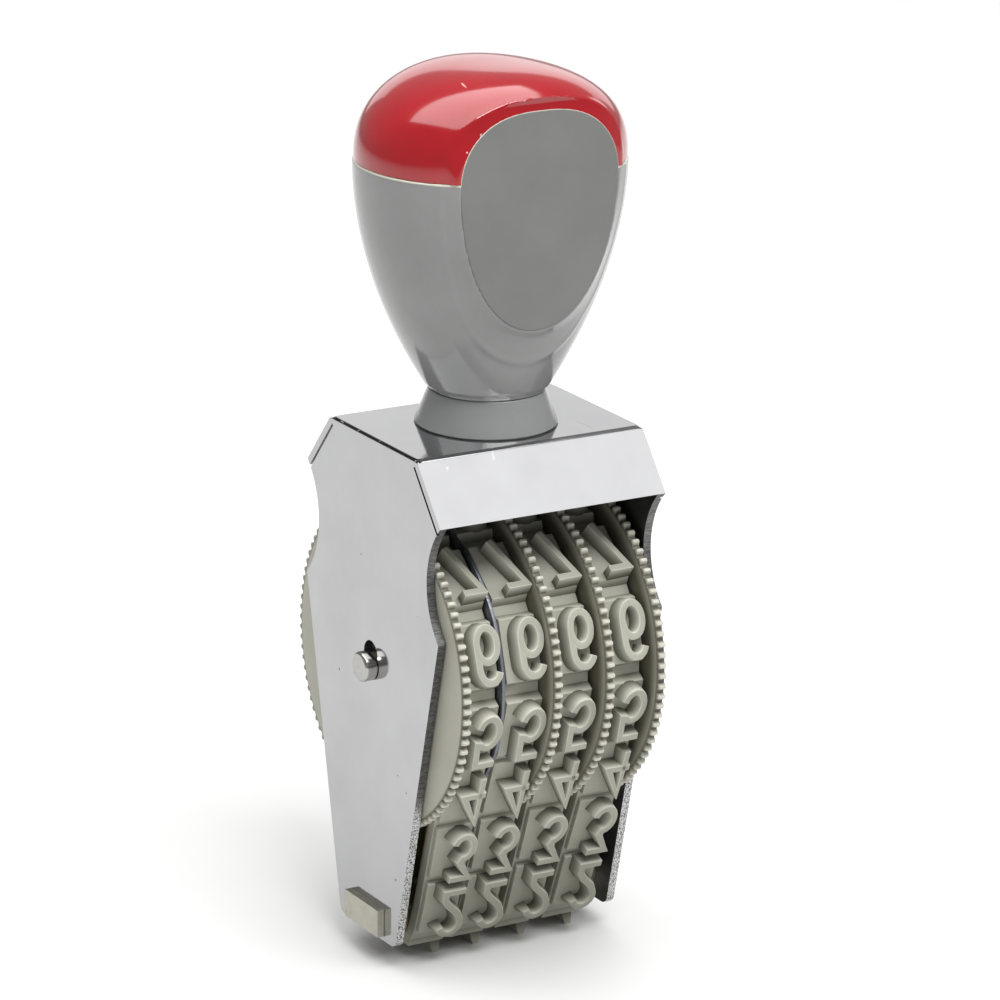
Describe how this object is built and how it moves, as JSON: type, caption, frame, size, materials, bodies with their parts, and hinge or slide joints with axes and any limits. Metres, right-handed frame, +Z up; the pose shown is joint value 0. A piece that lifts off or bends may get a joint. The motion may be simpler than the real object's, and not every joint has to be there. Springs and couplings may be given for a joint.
{
  "type": "numbering stamp",
  "caption": "Hand numbering stamp: folded chromed frame, toothed number wheels with rubber type bands round a platen bar, and a grey handle with a red cap.",
  "frame": {"origin": "middle of the four printing faces, on the surface that the stamp is pressed on", "axes": "+Z up along the handle, +X along the axle to the viewer's right, -Y towards the front, where the rising numerals are"},
  "size_m": [0.0398, 0.047, 0.1272],
  "materials": {
    "chrome_sheet": "bright chromed sheet with rough sheared edges",
    "bright_steel": "nickelled steel",
    "bar_steel": "nickelled flat bar, slightly warm",
    "blued_steel": "thin polished steel",
    "wheel_plastic": "warm grey moulded plastic",
    "band_rubber": "grey type rubber",
    "band_cloth": "straw-coloured woven backing",
    "handle_grey": "glossy grey plastic",
    "cap_red": "glossy red plastic",
    "label_grey": "matt grey plate"
  },
  "bodies": {
    "housing": {"frame": "chrome_sheet", "axle": "bright_steel", "thrust_washer": "bright_steel", "divider_disc": "blued_steel", "platen_bar": "bar_steel", "type_band_1": "band_rubber", "type_band_2": "band_rubber", "type_band_3": "band_rubber", "type_band_4": "band_rubber", "band_backing_1": "band_cloth", "band_backing_2": "band_cloth", "band_backing_3": "band_cloth", "band_backing_4": "band_cloth", "handle_collar": "handle_grey", "handle_body": "handle_grey", "handle_cap": "cap_red", "label_plate_front": "label_grey", "label_plate_back": "label_grey", "handle_screw": "bright_steel", "screw_washer": "bright_steel", "handle_nut": "bright_steel"},
    "wheel_1": {"number_wheel_1": "wheel_plastic"},
    "wheel_2": {"number_wheel_2": "wheel_plastic"},
    "wheel_3": {"number_wheel_3": "wheel_plastic"},
    "wheel_4": {"number_wheel_4": "wheel_plastic"}
  },
  "joints": [
    {"name": "wheel_1_turn", "type": "hinge", "parent": "housing", "child": "wheel_1", "pos_m": [0, 0, 0.0434], "axis": [1, 0, 0], "continuous": true},
    {"name": "wheel_2_turn", "type": "hinge", "parent": "housing", "child": "wheel_2", "pos_m": [0, 0, 0.0434], "axis": [1, 0, 0], "continuous": true},
    {"name": "wheel_3_turn", "type": "hinge", "parent": "housing", "child": "wheel_3", "pos_m": [0, 0, 0.0434], "axis": [1, 0, 0], "continuous": true},
    {"name": "wheel_4_turn", "type": "hinge", "parent": "housing", "child": "wheel_4", "pos_m": [0, 0, 0.0434], "axis": [1, 0, 0], "continuous": true}
  ]
}
